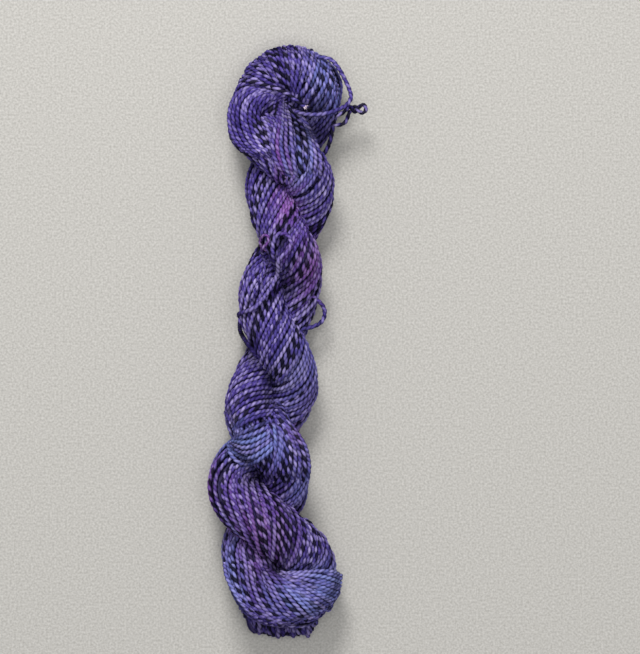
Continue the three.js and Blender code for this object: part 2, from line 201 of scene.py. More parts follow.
HEAD_FAN = [
    [(-0.0172, 0.0945), (-0.0118, 0.0934), (-0.0071, 0.092), (-0.0028, 0.0902)],
    [(-0.0116, 0.1017), (-0.0082, 0.0977), (-0.005, 0.0938), (-0.0017, 0.0898)],
    [(-0.0046, 0.106), (-0.0028, 0.1006), (-0.0014, 0.0952), (-0.0001, 0.0895)],
    [(0.003, 0.1066), (0.003, 0.101), (0.0024, 0.0952), (0.0015, 0.0887)],
    [(0.0102, 0.1039), (0.0091, 0.0981), (0.0069, 0.092), (0.0041, 0.0869)],
    [(0.0156, 0.0981), (0.0149, 0.0927), (0.012, 0.0869), (0.0084, 0.083)],
    [(0.0181, 0.0916), (0.0177, 0.0873), (0.0163, 0.083), (0.0134, 0.0797)],
]
HEAD_LOBE = [
    [(-0.0089, 0.0905), (-0.0147, 0.0913), (-0.019, 0.0884), (-0.021, 0.083), (-0.0208, 0.0772),
     (-0.0186, 0.0722), (-0.0147, 0.0686), (-0.0103, 0.0661)],
    [(-0.0064, 0.0895), (-0.0111, 0.0891), (-0.0147, 0.0862), (-0.0158, 0.0815), (-0.015, 0.0765),
     (-0.0125, 0.0715), (-0.0093, 0.0682), (-0.0064, 0.0653)],
    [(-0.0039, 0.0884), (-0.0071, 0.0869), (-0.0096, 0.0841), (-0.0103, 0.0801), (-0.0093, 0.0754),
     (-0.0075, 0.0711), (-0.0053, 0.0675), (-0.0032, 0.0643)],
]
HEAD_FRONT = [
    [(-0.0024, 0.0873), (-0.0042, 0.0779), (-0.0053, 0.0707), (-0.0042, 0.065), (-0.0006, 0.0592)],
    [(-0.0014, 0.0869), (-0.0006, 0.0783), (-0.0006, 0.0707), (0.0005, 0.0646), (0.0023, 0.0578)],
    [(0.0008, 0.0859), (0.0044, 0.0794), (0.0062, 0.0722), (0.0066, 0.0657), (0.0055, 0.0585)],
    [(0.003, 0.0844), (0.0077, 0.0772), (0.0105, 0.0707), (0.012, 0.0646), (0.0116, 0.0578)],
]
FOOT_LEFT_FAN = [
    [(-0.001, -0.1013), (-0.0071, -0.1003), (-0.0114, -0.0981), (-0.0159, -0.0938), (-0.0195, -0.0886),
     (-0.0221, -0.0833), (-0.0228, -0.079)],
    [(0.0015, -0.1006), (-0.0035, -0.1001), (-0.0084, -0.0976), (-0.0127, -0.0927), (-0.0151, -0.0859),
     (-0.0161, -0.0783)],
    [(0.0044, -0.1001), (-0.0017, -0.097), (-0.0057, -0.0916), (-0.0085, -0.0851), (-0.0111, -0.079)],
    [(0.0091, -0.0985), (0.0058, -0.0949), (0.0015, -0.0902), (-0.0035, -0.0848), (-0.0078, -0.0805)],
    [(0.0145, -0.0941), (0.012, -0.0923), (0.0073, -0.0895), (0.0015, -0.086), (-0.0042, -0.083)],
]
FOOT_RIGHT_FAN = [
    [(0.0155, -0.093), (0.0125, -0.0909), (0.0076, -0.0881), (0.0025, -0.0853), (-0.0032, -0.0828)],
    [(0.0185, -0.0887), (0.0135, -0.0866), (0.008, -0.085), (0.003, -0.0839), (-0.0022, -0.0829)],
    [(0.0194, -0.0841), (0.017, -0.0824), (0.0129, -0.0817), (0.0058, -0.082), (-0.0012, -0.0826)],
]

# Where each loop of the pushed end turns back: x and y.
PUSHED_LOOPS = [
    (-0.017, -0.097), (-0.0154, -0.0999), (-0.0138, -0.1021), (-0.0122, -0.1039), (-0.0103, -0.106),
    (-0.0086, -0.1057), (-0.0069, -0.1064), (-0.0053, -0.1067), (-0.0035, -0.1073), (-0.0017, -0.1067),
    (0.0001, -0.1064), (0.0019, -0.1071), (0.0037, -0.1064), (0.0055, -0.106), (0.0073, -0.1071),
    (0.0087, -0.1046), (0.0102, -0.1024),
]


# ---- small tools ----

def unit(vectors):
    """The same directions, each one long."""
    return vectors / np.linalg.norm(vectors, axis=-1, keepdims=True)


def upward(line):
    """The direction up, once for each point of a line."""
    return np.tile((0.0, 0.0, 1.0), (len(line), 1))


def smooth_rows(rows, places):
    """A smooth value through evenly numbered rows, for every column at once."""
    rows = np.asarray(rows, float)
    start = np.clip(np.floor(places).astype(int), 0, len(rows) - 2)
    part = (places - start)[..., None]
    padded = np.vstack([2 * rows[0] - rows[1], rows, 2 * rows[-1] - rows[-2]])
    before, near, far, after = (padded[start + k] for k in range(4))
    return 0.5 * (2 * near + (far - before) * part
                  + (2 * before - 5 * near + 4 * far - after) * part ** 2
                  + (3 * near - before - 3 * far + after) * part ** 3)


def smooth_step(value):
    """From 0 to 1 with a soft start and end."""
    value = np.clip(value, 0, 1)
    return value * value * (3 - 2 * value)


def wander(rng, places, length, size):
    """A smooth random value along places, which changes over about that length."""
    low, high = places.min(), places.max()
    knots = rng.normal(0, size, max(int((high - low) / length), 1) + 3)[:, None]
    return smooth_rows(knots, (places - low) / length)[..., 0]


def travelled(points):
    """How far along a line each of its points is."""
    steps = np.linalg.norm(np.diff(points, axis=0), axis=1)
    return np.concatenate([[0], np.cumsum(steps)])


def even_points(points, step, *others):
    """The same line with its points at even steps, and other vectors along it in the same way."""
    along = travelled(points)
    count = max(int(round(along[-1] / step)), 2)
    places = np.linspace(0, along[-1], count + 1)
    spaced = [np.stack([np.interp(places, along, rows[:, k]) for k in range(3)], axis=1)
              for rows in (points, *others)]
    return spaced if others else spaced[0]


# ---- the sections of the bundle ----
# A station is x, y, z, half width, half thickness, the way its flat side looks, and the lay: the
# angle of its strands.

def ply_stations(rows, first_side):
    """The stations of one ply, which goes round the other by a quarter turn for each row."""
    quarters = np.arange(PLY_QUARTERS * STATIONS_PER_QUARTER + 1) / STATIONS_PER_QUARTER
    y, axis_x, off_x, axis_z, off_z, half_wide, half_deep, lay = smooth_rows(rows, quarters).T
    turn = np.radians(first_side - 90 * quarters)
    return np.stack([axis_x + off_x * np.cos(turn), y, axis_z + off_z * np.sin(turn),
                     half_wide, half_deep, 0 * y, lay], axis=1)


def head_stations():
    """The stations of the bend at the head, from the first ply to the second."""
    rows = []
    for degrees, lay in zip(HEAD_ANGLES, HEAD_LAYS):
        across, up = math.cos(math.radians(degrees)), math.sin(math.radians(degrees))
        rows.append((HEAD_X + HEAD_BEND * across + HEAD_LEAN * up, HEAD_Y + HEAD_BEND * up,
                     HEAD_Z + (HEAD_PLY_Z - HEAD_Z) * (1 - up), HEAD_HALF_WIDE, HEAD_HALF_DEEP, 0, lay))
    return np.array(rows)


def bundle_sections():
    """The sections at even steps along the whole ring, and the step.

    A section is its middle, its width and depth directions, its bend, half its width, half its depth
    and how far its strands have turned round it.
    """
    stations = np.vstack([PUSHED_END[::-1], ply_stations(FIRST_PLY, 180)[::-1], head_stations(),
                          ply_stations(SECOND_PLY, 0), WRAPPED_END])
    fine = smooth_rows(stations, np.arange(0, len(stations) - 1 + 1e-9, 1 / STATION_SLICES))
    along = travelled(fine[:, :3])
    count = int(round(along[-1] / RING_STEP))
    places = np.linspace(0, along[-1], count + 1)
    rows = np.stack([np.interp(places, along, column) for column in fine.T], axis=1)
    middle = rows[:, :3]
    half_wide, half_deep, facing, lay = rows[:, 3:].T
    after = np.minimum(np.arange(count + 1) + 1, count)
    before = np.maximum(np.arange(count + 1) - 1, 0)
    heading = unit(middle[after] - middle[before])
    face = np.radians(facing)
    flat = np.stack([np.sin(face), 0 * face, np.cos(face)], axis=1)
    widthways = unit(np.cross(heading, flat))
    depthways = np.cross(widthways, heading)
    bend = (heading[after] - heading[before]) / (places[after] - places[before])[:, None]
    turned = -np.cumsum(places[1] * np.tan(np.radians(lay)) / half_wide)
    sizes = np.stack([half_wide, half_deep, turned], axis=1)
    return np.hstack([middle, widthways, depthways, bend, sizes]), places[1]


SECTIONS, SECTION_STEP = bundle_sections()
SECTION_CUTS = (3, 6, 9, 12, 13, 14)     # between the parts of a section, in its row
RING_LENGTH = (len(SECTIONS) - 1) * SECTION_STEP


def bundle_point(along, angle, sink):
    """Points that far along the ring and round it, sunk below its surface."""
    row = smooth_rows(SECTIONS, along / SECTION_STEP)
    middle, widthways, depthways, bend, half_wide, half_deep, turned = np.split(row, SECTION_CUTS, axis=-1)
    angle, sink = angle[..., None], np.broadcast_to(sink, along.shape)[..., None]
    ridge = 1 + RIDGE_DEPTH * np.cos(TWIST_RIDGES * angle)
    offset = (widthways * np.maximum(half_wide * ridge - sink, 0) * np.cos(angle + turned)
              + depthways * np.maximum(half_deep * ridge - sink, 0) * np.sin(angle + turned))
    tightness = np.maximum(np.linalg.norm(bend, axis=-1, keepdims=True), NO_BEND)
    inward = bend / tightness
    depth = np.sum(offset * inward, axis=-1, keepdims=True)
    limit = BEND_RESERVE / tightness
    knee = BEND_KNEE * limit
    room = limit - knee
    drawn = np.where(depth > knee, knee + room * np.tanh((depth - knee) / room), depth)
    return middle - MIDDLE + offset + inward * (drawn - depth)


# ---- where the strands run on the bundle ----
GRID_STEP, GRID_ANGLES = 0.0008, 240     # of the places where the strands are counted
STRAND_SPACING = 0.00158        # from one strand to the next, side by side
CROWDED, SPARSE = 0.6, 1.35     # shares of that: where a strand goes under, and where one comes up
COMES_UP = (0.4, 0.6)           # the part of a sparse gap where the new strand may lie
FEWEST_STRANDS = 4              # side by side
SHORTEST_RUN = 0.0024           # a strand that shows for less is left out
BARE_END = 0.011                # of the pushed end, left to its loops


def reach_round(along, angles):
    """At each place along the ring, how far round it each angle is, measured across the strands."""
    points = bundle_point(*np.meshgrid(along, angles, indexing="ij"), 0.5 * STRAND)
    forward = np.gradient(points, axis=0)
    around = (np.roll(points, -1, axis=1) - np.roll(points, 1, axis=1)) / 2
    width = np.linalg.norm(np.cross(around, unit(forward)), axis=-1)
    return np.concatenate([np.zeros((len(along), 1)), np.cumsum(width, axis=1)], axis=1)


def strand_runs(rng):
    """Each strand that shows: its angle round the bundle, and where it comes up and goes under.

    Where two strands come too close, the newer one goes under. Where a gap opens, a new one comes up.
    """
    along = np.arange(BARE_END, RING_LENGTH, GRID_STEP)
    angles = np.linspace(0, 2 * np.pi, GRID_ANGLES, endpoint=False)
    reach = reach_round(along, angles)
    closed_angles = np.append(angles, 2 * np.pi)
    count = int(reach[0, -1] / STRAND_SPACING)
    first_places = np.arange(count) * reach[0, -1] / count
    shown = [[float(angle), BARE_END] for angle in np.interp(first_places, reach[0], closed_angles)]
    finished = []
    for row in range(1, len(along)):
        while True:
            shown.sort()
            places = np.interp([run[0] for run in shown], closed_angles, reach[row])
            gaps = np.diff(places, append=places[0] + reach[row, -1])
            tight = int(np.argmin(gaps))
            if gaps[tight] > CROWDED * STRAND_SPACING or len(shown) < FEWEST_STRANDS:
                break
            other = (tight + 1) % len(shown)
            newer = tight if shown[tight][1] > shown[other][1] else other
            angle, start = shown.pop(newer)
            finished.append((angle, start, along[row]))
        wide = int(np.argmax(gaps))
        if gaps[wide] > SPARSE * STRAND_SPACING:
            between = (places[wide] + gaps[wide] * rng.uniform(*COMES_UP)) % reach[row, -1]
            shown.append([float(np.interp(between, reach[row], closed_angles)), along[row]])
    finished += [(angle, start, along[-1]) for angle, start in shown]
    return [run for run in finished if run[2] - run[1] > SHORTEST_RUN]


DIVE_LENGTH, DIVE_DEPTH = 0.005, 0.0026  # of a strand's end, where it comes up or goes under
DEEP = 0.0015                   # below a strand, to find which way is out
FLOOR_REST = 0.5 * STRAND       # the lowest that a strand's middle goes
SPARE_RUN = 0.002               # added to a run at both ends, for its dives
LINE_STEP = 0.0004
WANDER_LENGTH = 0.02            # of a strand's own waver
WANDER_SIDE, WANDER_SINK = 0.0004, 0.0004
PLY_RADIUS = 0.0085             # that turns a sideways wander into an angle
PROUD = 0.0001                  # how far a strand that doesn't wander stands up


def raised_by_ends(line):
    """For each point of a line, 0 at its two ends and 1 where the strand has come all the way up."""
    gone = travelled(line)
    return smooth_step(np.minimum(gone, gone[-1] - gone) / DIVE_LENGTH)


def strand_line(rng, run):
    """The middle of one strand, from where it comes up to where it goes under."""
    angle, start, end = run
    along = np.arange(max(start - SPARE_RUN, 0), min(end + SPARE_RUN, RING_LENGTH), LINE_STEP)
    angles = angle + wander(rng, along, WANDER_LENGTH, WANDER_SIDE / PLY_RADIUS)
    sink = 0.5 * STRAND + np.abs(wander(rng, along, WANDER_LENGTH, WANDER_SINK)) - PROUD
    raised = raised_by_ends(bundle_point(along, angles, sink))
    line = bundle_point(along, angles, sink + DIVE_DEPTH * (1 - raised))
    outward = unit(line - bundle_point(along, angles, sink + DEEP))
    line[:, 2] = np.maximum(line[:, 2], FLOOR_REST)
    return line, outward


HEIGHT_CELL = 0.0005            # of a flat grid under the whole hank
HEIGHT_CORNER, HEIGHT_CELLS = np.array((-0.035, -0.115)), (140, 460)
HEIGHT_ANGLES = 360
HEIGHT_SPREAD = 4               # points each way over which a laid strand's height is evened
LAID_LIFT = 0.0004              # of a laid strand's middle above the surface of the bundle
LAID_STEP = 0.0005
LAID_SLICES = 90
LAID_UNEVEN = 0.15              # share of the gap from one strand to the next
GUIDE_POINTS = 14               # given to every guide, so that a strand can lie between two


def height_cells(points):
    """The column and row of the flat grid in which each point lies."""
    return ((points[:, :2] - HEIGHT_CORNER) / HEIGHT_CELL).astype(int).T


def bundle_heights():
    """How high the bundle stands over each cell of a flat grid."""
    along = np.arange(0, RING_LENGTH, LINE_STEP)
    angles = np.linspace(0, 2 * np.pi, HEIGHT_ANGLES, endpoint=False)
    points = bundle_point(*np.meshgrid(along, angles, indexing="ij"), 0.0).reshape(-1, 3)
    column, row = height_cells(points)
    heights = np.zeros(HEIGHT_CELLS)
    np.maximum.at(heights, (column, row), points[:, 2])
    shifted = [np.roll(heights, (i, j), axis=(0, 1)) for i in (-1, 0, 1) for j in (-1, 0, 1)]
    return np.max(shifted, axis=0)


def laid_strand(heights, route):
    """A strand that lies over the bundle along a route of x and y, its ends tucked in."""
    flat = smooth_rows(route, np.linspace(0, len(route) - 1, LAID_SLICES))
    line = even_points(np.column_stack([flat, np.zeros(LAID_SLICES)]) - MIDDLE, LAID_STEP)
    column, row = height_cells(line)
    padded = np.pad(heights[column, row], HEIGHT_SPREAD, mode="edge")
    window = 2 * HEIGHT_SPREAD + 1
    line[:, 2] = np.convolve(padded, np.ones(window) / window, mode="valid") + LAID_LIFT
    raised = raised_by_ends(line)
    line[:, 2] = np.maximum(line[:, 2] - DIVE_DEPTH * (1 - raised), FLOOR_REST)
    return line, upward(line)


def laid_group(rng, heights, guides, count, shorter):
    """Strands side by side, from the first guide through the others to the last.

    Every second strand has only its first share of the way.
    """
    rows = [smooth_rows(guide, np.linspace(0, len(guide) - 1, GUIDE_POINTS)).ravel() for guide in guides]
    shares = (np.arange(count) + rng.uniform(-LAID_UNEVEN, LAID_UNEVEN, count)) / (count - 1)
    routes = smooth_rows(rows, np.clip(shares, 0, 1) * (len(guides) - 1))
    kept = np.where(np.arange(count) % 2, int(GUIDE_POINTS * shorter), GUIDE_POINTS)
    return [laid_strand(heights, route.reshape(-1, 2)[:points]) for route, points in zip(routes, kept)]


LOOP_TOP, LOOP_LOW, LOOP_RUN = 0.0086, 0.0011, 0.014  # the heights of its two runs, and their length
LOOP_BEHIND = (0.0003, -0.0008)  # how a loop of the second layer differs, in y and height
LOOP_LEAN = 0.0011              # to either side, at most
LOOP_UNEVEN = (-0.0005, 0.0003)  # how a loop of the first layer may differ in height
LOOP_RISE, LOOP_CLOSE = 0.0012, 0.001  # of the upper run halfway back, and of both runs at their ends
LOOP_BEND = np.radians((0, 30, 60, 90, 120, 150, 180))
LOOP_HEART = 0.002              # from the start of its bend to the point that its outside looks away from
LOOP_FACES = (0.2, 1, 1)        # how much of that look goes sideways, along the hank and up
LOOP_SLICES = 80


def pushed_loop(rng, x, y, high):
    """One turn of the ring's pushed end: out over the top, round, and back underneath."""
    lean = rng.uniform(-LOOP_LEAN, LOOP_LEAN)
    reach = 0.5 * (high - LOOP_LOW)
    inner = y + reach + 0.5 * STRAND
    bend_y = inner - reach * np.sin(LOOP_BEND)
    bend_z = LOOP_LOW + reach * (1 + np.cos(LOOP_BEND))
    rows = [(x + lean, inner + LOOP_RUN, high - LOOP_CLOSE)]
    rows.append((x + 0.6 * lean, inner + 0.5 * LOOP_RUN, high + LOOP_RISE))
    rows += [(x, out, up) for out, up in zip(bend_y, bend_z)]
    rows.append((x - 0.5 * lean, inner + 0.5 * LOOP_RUN, LOOP_LOW))
    rows.append((x - lean, inner + LOOP_RUN, LOOP_LOW + LOOP_CLOSE))
    line = smooth_rows(np.array(rows) - MIDDLE, np.linspace(0, len(rows) - 1, LOOP_SLICES))
    heart = np.array((x, inner + LOOP_HEART, LOOP_LOW + reach)) - MIDDLE
    return line, unit((line - heart) * LOOP_FACES)


def route_line(*routes):
    """A smooth line through a loose strand's points."""
    rows = np.vstack(routes) - MIDDLE
    return smooth_rows(rows, np.linspace(0, len(rows) - 1, len(rows) * ROUTE_SLICES))


# ---- yarn ----
# The outline of two plies pressed together. Each point has its angle, its share of the full radius,
# the ply that it is on (0 or 1, and 0.5 between them) and how far it is down the groove between them.
YARN_OUTLINE = (
    (0, 1.0, 0, 0), (45, 0.9, 0, 0.2), (90, 0.68, 0.5, 1), (135, 0.9, 1, 0.2),
    (180, 1.0, 1, 0), (225, 0.9, 1, 0.2), (270, 0.68, 0.5, 1), (315, 0.9, 0, 0.2),
)
POINT_DEGREES, POINT_RADIUS, PLY_OF_POINT, GROOVE_OF_POINT = np.array(YARN_OUTLINE).T
POINTS_ROUND = len(YARN_OUTLINE)
STEPS_PER_TURN = 8
ASKEW = (0.3, 0.2, 0.93)        # a direction in which no strand starts


def frames_along(line):
    """A direction across the line at each of its points, turning no more than it must."""
    heading = unit(np.gradient(line, axis=0))
    across = np.zeros_like(line)
    start = np.cross(heading[0], ASKEW)
    across[0] = start / np.linalg.norm(start)
    for i in range(1, len(line)):
        step = across[i - 1] - heading[i] * np.dot(across[i - 1], heading[i])
        across[i] = step / math.sqrt(np.dot(step, step))
    return across, np.cross(heading, across)


def yarn_rings(line, wide, turn, start_turn):
    """The rings of points of two plies twisted round each other along a line, and how far along."""
    across, beside = frames_along(line)
    along = travelled(line)
    twist = start_turn - 2 * np.pi * along / turn
    angle = twist[:, None] + np.radians(POINT_DEGREES)[None, :]
    radius = 0.5 * wide * POINT_RADIUS[None, :]
    rings = (line[:, None, :] + across[:, None, :] * (radius * np.cos(angle))[..., None]
             + beside[:, None, :] * (radius * np.sin(angle))[..., None])
    return rings, along


def tube_mesh(name, tubes):
    """One mesh of closed tubes. Each tube is its rings of points, in order."""
    points = np.concatenate([rings.reshape(-1, 3) for rings in tubes])
    quads, caps, base = [], [], 0
    for rings in tubes:
        count, sides = rings.shape[:2]
        ring, side = np.meshgrid(np.arange(count - 1), np.arange(sides), indexing="ij")
        here, there = base + ring * sides, base + (ring + 1) * sides
        following = (side + 1) % sides
        quads.append(np.stack([here + side, here + following, there + following, there + side],
                              axis=-1).reshape(-1, 4))
        caps.append(base + np.arange(sides)[::-1])
        caps.append(base + (count - 1) * sides + np.arange(sides))
        base += count * sides
    quads = np.concatenate(quads)
    corners = np.concatenate([quads.ravel()] + caps)
    cap_starts = len(quads) * 4 + np.concatenate([[0], np.cumsum([len(cap) for cap in caps])[:-1]])
    starts = np.concatenate([np.arange(len(quads)) * 4, cap_starts])
    mesh = bpy.data.meshes.new(name)
    mesh.vertices.add(len(points))
    mesh.vertices.foreach_set("co", points.astype(np.float32).ravel())
    mesh.loops.add(len(corners))
    mesh.loops.foreach_set("vertex_index", corners.astype(np.int32))
    mesh.polygons.add(len(starts))
    mesh.polygons.foreach_set("loop_start", starts.astype(np.int32))
    mesh.update(calc_edges=True)
    mesh.validate()
    mesh.shade_smooth()
    return mesh


def add_facts(mesh, facts):
    """Values at the mesh's points, for its material to read."""
    for name, values in facts.items():
        layer = mesh.attributes.new(name, "FLOAT", "POINT")
        layer.data.foreach_set("value", np.asarray(values, np.float32).ravel())


def add_piece(mesh, material):
    """The finished piece of a mesh, on the hank's body."""
    mesh.materials.append(material)
    piece = bpy.data.objects.new(mesh.name, mesh)
    bpy.context.scene.collection.objects.link(piece)
    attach(piece, "root")
    return piece


# ---- the dye along the strands, and the painted shade ----
# Where the dye took differently, and then where shade is painted: a middle (x, y) on the bundle, a reach in
# each direction, a strength.
PINK_ZONES = (
    ((0.0008, 0.0495), (0.0045, 0.008), 0.8), ((0.0065, 0.028), (0.0055, 0.011), 0.8),
    ((0.009, -0.024), (0.006, 0.011), 0.5),
    ((0.005, -0.031), (0.003, 0.005), 0.8), ((-0.003, 0.065), (0.0022, 0.013), 0.7),
    ((-0.028, -0.052), (0.006, 0.015), 0.5), ((-0.01, -0.068), (0.012, 0.016), 0.6),
    ((-0.025, 0.015), (0.006, 0.01), 0.3),
)
BLUE_ZONES = (
    ((0.013, 0.095), (0.006, 0.012), 0.8), ((0.006, 0.068), (0.004, 0.012), 0.7),
    ((0.008, -0.02), (0.01, 0.022), 0.5), ((-0.013, -0.0365), (0.011, 0.006), 1.3),
    ((0.011, -0.089), (0.015, 0.008), 1.1), ((-0.0195, -0.082), (0.005, 0.014), 0.9),
    ((0.006, -0.052), (0.006, 0.009), 0.6), ((0.017, -0.085), (0.011, 0.006), 1.3),
)
# Painted shade: crevices and shaded stretches of the bundle, darkened towards the shade colour.
PAINTED_SHADE_ZONES = (
    ((-0.002, -0.104), (0.022, 0.008), 0.45), ((0.0085, 0.0838), (0.008, 0.0045), 1.0),
    ((0.002, -0.008), (0.005, 0.01), 0.3), ((0.0055, 0.024), (0.006, 0.009), 0.2),
    ((0.008, -0.0235), (0.006, 0.011), 0.25), ((-0.006, -0.068), (0.013, 0.014), 0.2),
    ((0.0095, 0.076), (0.007, 0.005), 0.9), ((-0.0118, -0.0485), (0.006, 0.0035), 0.9),
    ((-0.0046, -0.08), (0.004, 0.0035), 0.9), ((-0.0057, -0.014), (0.003, 0.006), 0.9),
    ((-0.0003, 0.0205), (0.0035, 0.005), 0.8), ((-0.0118, 0.0005), (0.0025, 0.005), 0.7),
    ((-0.0017, 0.0356), (0.0019, 0.003), 0.95), ((-0.0083, 0.0365), (0.0012, 0.0014), 1.0),
)
# Where many strands show a black ply, and where none do.
MARLED_ZONES = (
    ((-0.012, 0.073), (0.008, 0.01), 1.5), ((-0.0135, -0.025), (0.008, 0.007), 1.5),
    ((-0.0165, -0.0815), (0.006, 0.011), 1.5), ((-0.005, -0.068), (0.011, 0.011), 1.5),
    ((0.004, 0.029), (0.005, 0.012), 1.2), ((0.014, 0.094), (0.0035, 0.006), 1.5),
)
PLAIN_ZONES = (
    ((0.017, -0.085), (0.013, 0.007), 1.0), ((-0.013, -0.0365), (0.009, 0.005), 0.6),
)
IN_ZONES = 0.5                  # the mark of a strand that is black in those zones alone
MARLED_THERE = 0.36             # share of the strands

# What the material reads at each point of a strand: the metres along it; its own tint; its ply; how far
# down the groove between the plies and how much painted light its side or top gets, both for painted
# shade; its pink and blue dye and its painted shade; and how black its marled ply is.
FACTS = ("along", "tint", "ply", "groove", "open", "pink", "blue", "painted_shade", "marl")
DYE_SHIFT = 0.0016              # of a strand's own pink and blue stretches from where the zones are
PINK_TAKEN, BLUE_TAKEN = (0.3, 0.9), (0.4, 1.2)  # how much of a zone's dye a strand takes
PINK_FADE = 0.006               # of the knot's pink into the thread's own dye
PAINTED_LIGHT_LEAST, PAINTED_LIGHT_MORE = 0.14, 0.95       # painted light of a strand's side and of its top; its sides get painted shade


def zone_share(points, zones):
    """How strongly the zones hold at each point."""
    share = np.zeros(len(points))
    for (x, y), (reach_x, reach_y), strength in zones:
        away = ((points[:, 0] - x) / reach_x) ** 2 + ((points[:, 1] - y) / reach_y) ** 2
        share = np.maximum(share, strength * np.exp(-away))
    return share


def strand_facts(rng, line, along, out_share, marl, pinker, pink_reach, shaded):
    """What the yarn's material reads at each point of one strand: its place, plies, dye and painted shade.

    marl is 1 for a strand with one black ply, 0 for one without, and IN_ZONES for one whose ply is
    black in the marled zones alone. pinker is the pink of its first pink_reach, and shaded is how
    much of the painted shade of the shade zones it takes.
    """
    one = np.ones((len(line), POINTS_ROUND))
    middles = np.repeat(line, POINTS_ROUND, axis=0)
    dyed = middles + rng.normal(0, DYE_SHIFT, 3)
    tint = rng.uniform(0, 1)
    black = zone_share(middles, MARLED_ZONES) if marl == IN_ZONES else np.full(len(middles), float(marl))
    near = (one * (pinker * (1 - smooth_step((along[:, None] - pink_reach) / PINK_FADE)))).ravel()
    pink = zone_share(dyed, PINK_ZONES) * rng.uniform(*PINK_TAKEN)
    blue = zone_share(dyed, BLUE_ZONES) * rng.uniform(*BLUE_TAKEN)
    return {
        "along": one * along[:, None],
        "tint": one * tint,
        "ply": one * PLY_OF_POINT,
        "groove": one * GROOVE_OF_POINT,
        # Painted light and shade: the sides of a strand, and its place in a shade zone, darken it.
        "open": smooth_step(PAINTED_LIGHT_LEAST + PAINTED_LIGHT_MORE * out_share),
        "pink": np.maximum(pink, near),
        "blue": np.minimum(blue, 1),
        "painted_shade": shaded * zone_share(middles, PAINTED_SHADE_ZONES),
        "marl": np.minimum(black, 1) * (1 - zone_share(middles, PLAIN_ZONES)),
    }


def yarn_mesh(rng, name, strands, marled, wide, turn, pinker=0.0, pink_reach=0.0, shaded=1.0):
    """Many strands of two-ply yarn as one mesh, with the facts of each."""
    tubes, facts = [], []
    for (line, outward), marl in zip(strands, marled):
        line, outward = even_points(line, turn / STEPS_PER_TURN, outward)
        rings, along = yarn_rings(line, wide, turn, rng.uniform(0, 2 * np.pi))
        tubes.append(rings)
        out_share = np.sum((rings - line[:, None, :]) * outward[:, None, :], axis=-1) / (0.5 * wide)
        facts.append(strand_facts(rng, line, along, out_share, marl, pinker, pink_reach, shaded))
    mesh = tube_mesh(name, tubes)
    add_facts(mesh, {key: np.concatenate([one[key].ravel() for one in facts]) for key in FACTS})
    return mesh


# ---- materials ----

def colour(red, green, blue):
    """A colour as it shows, from 0 to 255, as the shader's linear one."""
    shares = [value / 255 for value in (red, green, blue)]
    return tuple(s / 12.92 if s <= 0.04045 else ((s + 0.055) / 1.055) ** 2.4 for s in shares) + (1.0,)


INDIGO, VIOLET, LAVENDER = colour(28, 20, 74), colour(81, 66, 146), colour(172, 158, 214)
MAGENTA, PERIWINKLE, BLACK = colour(144, 82, 160), colour(134, 148, 218), colour(6, 6, 14)
PAINTED_SHADE_COLOUR = colour(5, 3, 22)      # painted shade, down between the strands and plies and in the shade zones
PALE_FIBRE = colour(226, 206, 222)
FLOOR_DARK, FLOOR_LIGHT = colour(163, 160, 154), colour(193, 190, 184)

DYE_STEPS = ((0.18, INDIGO), (0.46, VIOLET), (0.82, LAVENDER))  # from the most dye to the least
# Each further dye, and then the painted shade of the shade zones, with how far it covers what is under it.
# The black of a marled ply comes last.
DYES_AND_SHADE_OVER = (("Pink", 1.0, MAGENTA), ("Blue", 0.7, PERIWINKLE), ("Painted_shade", 0.85, PAINTED_SHADE_COLOUR))
BLACK_COVERS = 0.94
STRAND_APART, PLY_APART = 53.0, 3.7      # in the patterns of the dye, so that no two look the same
BROAD_SCALE, FINE_SCALE, FINE_STRETCH = 70.0, 60.0, 12.0
BROAD_SHARE, FINE_SHARE = 0.95, 0.5      # of each pattern in how pale a stretch is
TINT_SHARE, PALE_START = 0.16, -0.28     # of the strand's own tint in that, and where it starts
GROOVE_PAINTED_SHADE = 0.5              # painted shade: how much darker the groove between the plies is
SHADE_MORE, SHADE_LEAST = 0.97, 0.03     # painted light on an open point, past what reaches a hidden one


def add_node(tree, kind, settings=None, inputs=None):
    """A shader node with its settings, its inputs set to values or linked to sockets."""
    made = tree.nodes.new(kind)
    for key, value in (settings or {}).items():
        setattr(made, key, value)
    for key, value in (inputs or {}).items():
        if isinstance(value, bpy.types.NodeSocket):
            tree.links.new(value, made.inputs[key])
        else:
            made.inputs[key].default_value = value
    return made


def maths(tree, operation, first, second=0.0, third=0.0):
    """The result of one operation on shader values."""
    made = add_node(tree, "ShaderNodeMath", {"operation": operation}, {0: first, 1: second, 2: third})
    return made.outputs[0]


def mixed(tree, share, under, over):
    """One colour over another, by that share."""
    made = add_node(tree, "ShaderNodeMix", {"data_type": "RGBA"}, {"Factor": share, 6: under, 7: over})
    return made.outputs[2]


def colour_steps(tree, value, steps):
    """A colour for each value, between steps of a position and its colour."""
    ramp = add_node(tree, "ShaderNodeValToRGB", None, {0: value})
    stops = ramp.color_ramp.elements
    for _ in steps[2:]:
        stops.new(0.5)
    for stop, (position, shade) in zip(stops, steps):
        stop.position, stop.color = position, shade
    return ramp.outputs[0]


def stretches(tree, along, apart, scale):
    """A pattern that changes along a strand and differs from ply to ply."""
    place = add_node(tree, "ShaderNodeCombineXYZ", None, {0: along, 1: apart}).outputs[0]
    return add_node(tree, "ShaderNodeTexNoise", {"noise_dimensions": "2D"},
                    {"Vector": place, "Scale": scale, "Detail": 2.0}).outputs[0]


